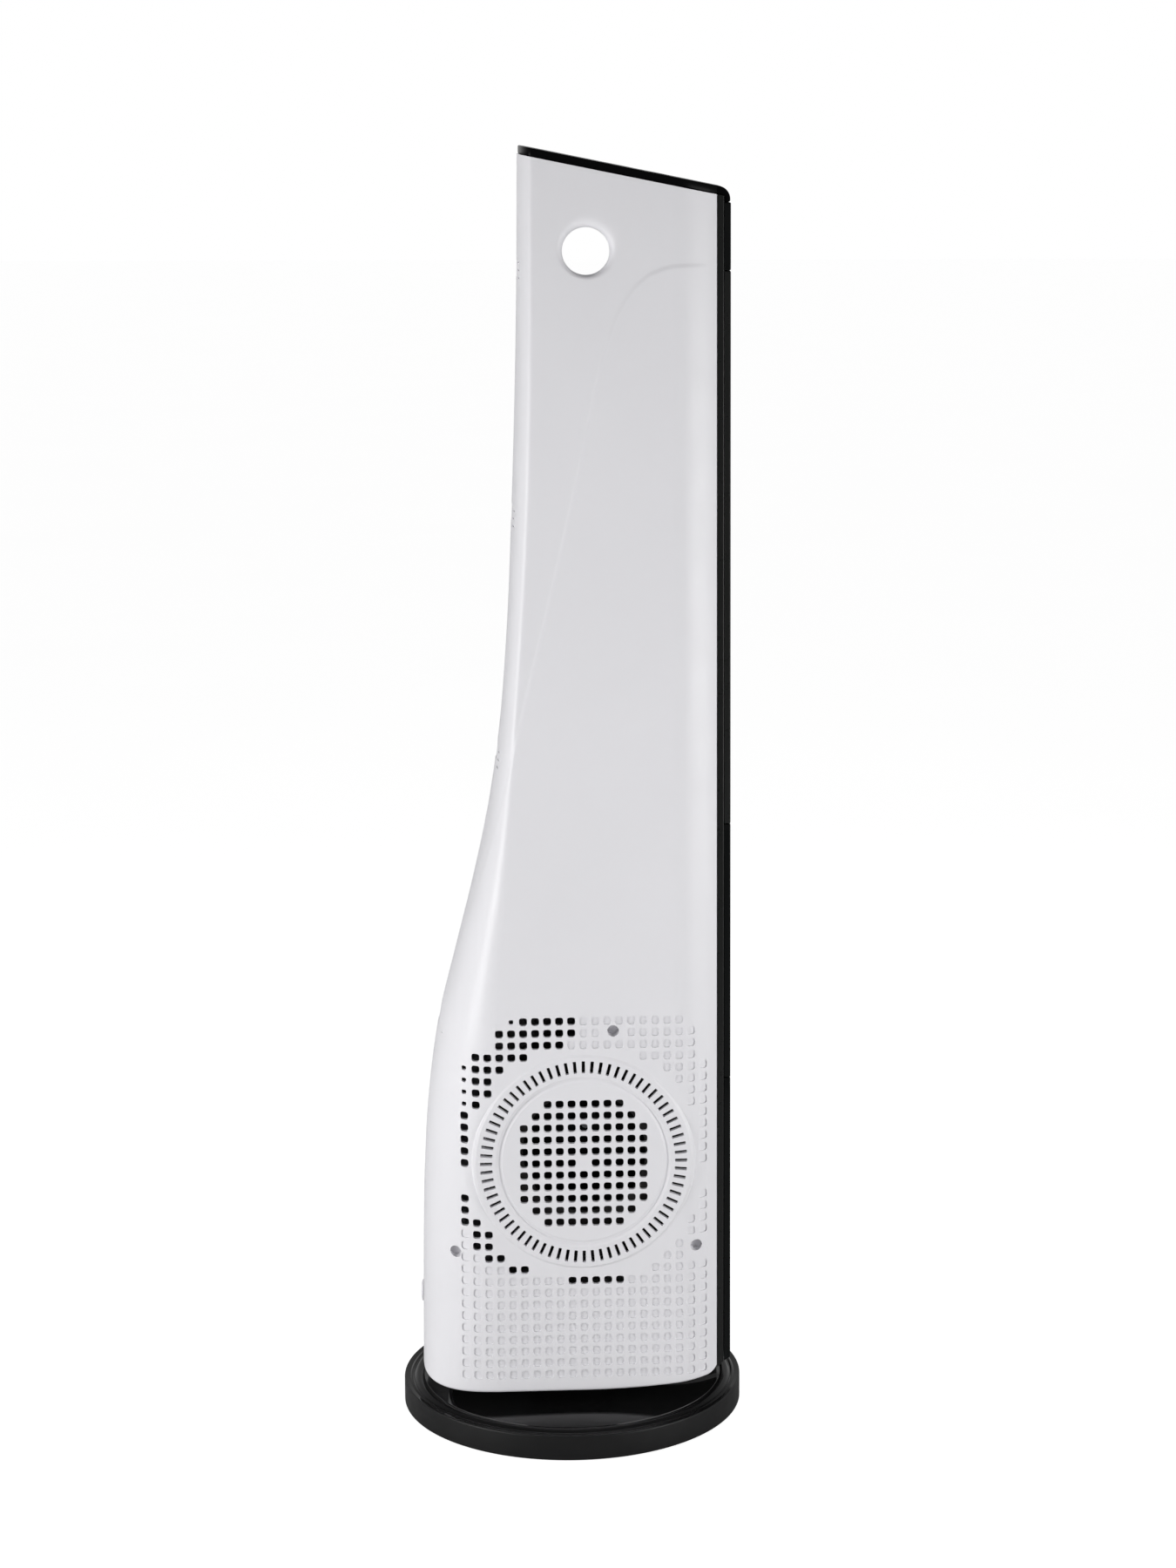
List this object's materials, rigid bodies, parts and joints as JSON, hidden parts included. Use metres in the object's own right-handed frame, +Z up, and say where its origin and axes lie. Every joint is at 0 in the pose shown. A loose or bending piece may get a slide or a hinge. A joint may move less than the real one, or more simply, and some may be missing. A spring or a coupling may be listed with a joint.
{
  "type": "ceramic tower heater",
  "caption": "Slim upright ceramic tower heater with a curved back, a carrying hole, a side air intake and a round base that it swivels on.",
  "frame": {"origin": "centre of the round base on the floor", "axes": "+X to the front, where the warm air leaves; +Y to the left side; +Z up"},
  "size_m": [0.191, 0.191, 0.708],
  "materials": {
    "shell_white": "satin, faintly lilac white",
    "gloss_black": "polished",
    "satin_black": "satin",
    "inner_black": "matt moulded",
    "foot_rubber": "matt",
    "steel": "zinc plated",
    "bearing_plastic": "natural",
    "element_ceramic": "matt",
    "board_green": "solder mask",
    "heat_plastic": "matt moulded",
    "button_black": "satin gloss"
  },
  "bodies": {
    "base": {"base_cover": "satin_black", "base_plate": "steel", "foot_1": "foot_rubber", "foot_2": "foot_rubber", "foot_3": "foot_rubber", "foot_4": "foot_rubber", "foot_5": "foot_rubber", "base_screw_1": "steel", "base_screw_2": "steel", "base_screw_3": "steel", "tip_switch": "inner_black", "swivel_bush": "bearing_plastic", "fixed_gear": "bearing_plastic", "gear_screw_1": "steel", "gear_screw_2": "steel"},
    "tower": {"swivel_neck": "satin_black", "neck_screw_1": "steel", "neck_screw_2": "steel", "neck_screw_3": "steel", "swing_motor": "steel", "bottom_cover": "satin_black", "right_shell": "shell_white", "left_shell": "shell_white", "shell_screw_1": "steel", "shell_screw_2": "steel", "shell_screw_3": "steel", "cord_gland": "shell_white", "front_frame": "satin_black", "display_panel": "gloss_black", "outlet_grille": "satin_black", "lower_front_panel": "gloss_black", "kick_panel": "gloss_black", "top_cap": "gloss_black", "control_board": "board_green", "blower_housing": "inner_black", "inlet_ring": "inner_black", "blower_motor": "steel", "motor_clamp": "inner_black", "air_duct": "heat_plastic", "heater_frame": "heat_plastic", "lower_ceramic_element": "element_ceramic", "upper_ceramic_element": "element_ceramic", "thermal_cutout": "steel", "thermal_fuse": "element_ceramic", "main_board": "board_green"},
    "tip_plunger_body": {"tip_plunger": "bearing_plastic"},
    "swing_pinion_body": {"swing_pinion": "bearing_plastic"},
    "blower_rotor": {"blower_wheel": "satin_black", "motor_shaft": "steel"},
    "power_button_body": {"power_button": "button_black"},
    "heat_button_body": {"heat_button": "button_black"},
    "fan_button_body": {"fan_button": "button_black"},
    "swing_button_body": {"swing_button": "button_black"},
    "timer_button_body": {"timer_button": "button_black"}
  },
  "joints": [
    {"name": "tower_swivel", "type": "hinge", "parent": "base", "child": "tower", "pos_m": [0, 0, 0.026], "axis": [0, 0, 1], "range_deg": [-35, 35]},
    {"name": "tip_plunger_slide", "type": "slide", "parent": "base", "child": "tip_plunger_body", "axis": [0, 0, -1], "range_m": [0, 0.0036], "stiffness_N_per_m": 20, "springref_m": 0.0036},
    {"name": "swing_pinion_spin", "type": "hinge", "parent": "tower", "child": "swing_pinion_body", "pos_m": [-0.03145, 0, 0.039], "axis": [0, 0, 1], "range_deg": [-142, 142]},
    {"name": "blower_spin", "type": "hinge", "parent": "tower", "child": "blower_rotor", "pos_m": [0.0084, 0, 0.158], "axis": [0, 1, 0], "continuous": true},
    {"name": "power_button_press", "type": "slide", "parent": "tower", "child": "power_button_body", "axis": [-0.1994, 0, -0.9799], "range_m": [0, 0.0008], "stiffness_N_per_m": 150},
    {"name": "heat_button_press", "type": "slide", "parent": "tower", "child": "heat_button_body", "axis": [-0.1994, 0, -0.9799], "range_m": [0, 0.0008], "stiffness_N_per_m": 150},
    {"name": "fan_button_press", "type": "slide", "parent": "tower", "child": "fan_button_body", "axis": [-0.1994, 0, -0.9799], "range_m": [0, 0.0008], "stiffness_N_per_m": 150},
    {"name": "swing_button_press", "type": "slide", "parent": "tower", "child": "swing_button_body", "axis": [-0.1994, 0, -0.9799], "range_m": [0, 0.0008], "stiffness_N_per_m": 150},
    {"name": "timer_button_press", "type": "slide", "parent": "tower", "child": "timer_button_body", "axis": [-0.1994, 0, -0.9799], "range_m": [0, 0.0008], "stiffness_N_per_m": 150}
  ],
  "couplings": [
    {"joint": "swing_pinion_spin", "follows": "tower_swivel", "ratio": 4}
  ]
}
